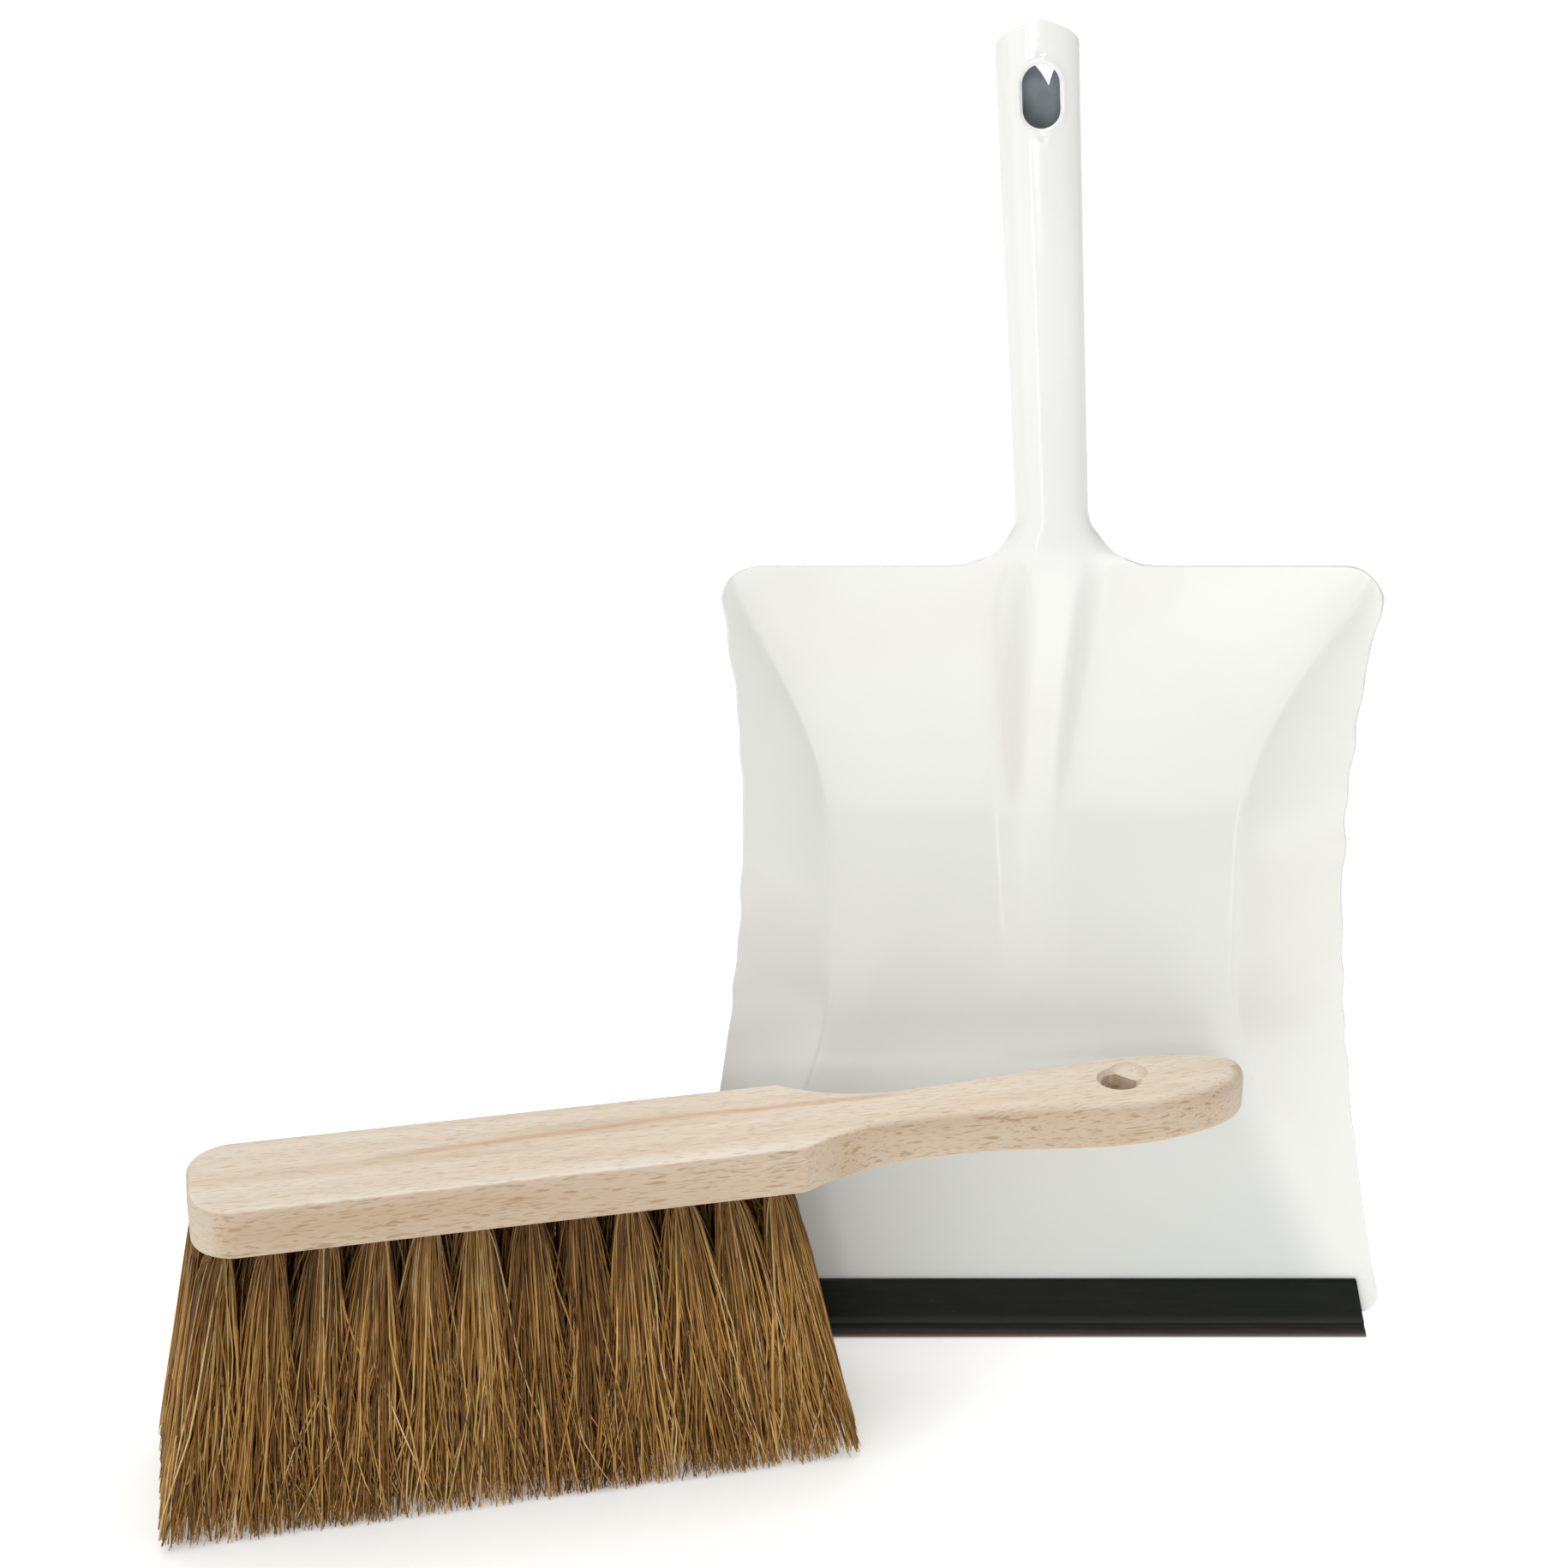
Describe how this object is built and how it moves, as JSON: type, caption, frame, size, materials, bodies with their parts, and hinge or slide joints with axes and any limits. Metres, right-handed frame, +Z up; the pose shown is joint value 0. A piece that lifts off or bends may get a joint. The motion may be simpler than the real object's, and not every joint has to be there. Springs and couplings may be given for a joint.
{
  "type": "dust pan and brush set",
  "caption": "White pressed-steel dust pan with a rolled hanging handle and a black rubber lip, and a beech hand brush with coarse fibre tufts.",
  "frame": {"origin": "centre of the set's bounding box in X and Y, on the ground plane that the lip of the pan and the bristle tips stand on", "axes": "+Z up, -Y towards the open face of the pan, +X to the right as seen from there; the long axis of the brush is turned 12.5 degrees about Z from +X"},
  "size_m": [0.4003, 0.1705, 0.4288],
  "materials": {
    "enamel": "gloss",
    "lip_rubber": "satin",
    "beech": "raw",
    "coir": "matte",
    "anchor_wire": "satin"
  },
  "bodies": {
    "pan": {"pan_tray": "enamel", "pan_handle": "enamel", "lip": "lip_rubber"},
    "brush": {"brush_block": "beech", "tuft_anchors": "anchor_wire", "tuft_row1_01": "coir", "tuft_row1_02": "coir", "tuft_row1_03": "coir", "tuft_row1_04": "coir", "tuft_row1_05": "coir", "tuft_row1_06": "coir", "tuft_row1_07": "coir", "tuft_row1_08": "coir", "tuft_row1_09": "coir", "tuft_row1_10": "coir", "tuft_row1_11": "coir", "tuft_row1_12": "coir", "tuft_row2_01": "coir", "tuft_row2_02": "coir", "tuft_row2_03": "coir", "tuft_row2_04": "coir", "tuft_row2_05": "coir", "tuft_row2_06": "coir", "tuft_row2_07": "coir", "tuft_row2_08": "coir", "tuft_row2_09": "coir", "tuft_row2_10": "coir", "tuft_row2_11": "coir", "tuft_row2_12": "coir", "tuft_row3_01": "coir", "tuft_row3_02": "coir", "tuft_row3_03": "coir", "tuft_row3_04": "coir", "tuft_row3_05": "coir", "tuft_row3_06": "coir", "tuft_row3_07": "coir", "tuft_row3_08": "coir", "tuft_row3_09": "coir", "tuft_row3_10": "coir", "tuft_row3_11": "coir", "tuft_row3_12": "coir", "tuft_row4_01": "coir", "tuft_row4_02": "coir", "tuft_row4_03": "coir", "tuft_row4_04": "coir", "tuft_row4_05": "coir", "tuft_row4_06": "coir", "tuft_row4_07": "coir", "tuft_row4_08": "coir", "tuft_row4_09": "coir", "tuft_row4_10": "coir", "tuft_row4_11": "coir", "tuft_row4_12": "coir"}
  },
  "joints": [
    {"name": "brush_lift", "type": "slide", "parent": "pan", "child": "brush", "axis": [0, 0, 1], "range_m": [0, 0.2]}
  ]
}
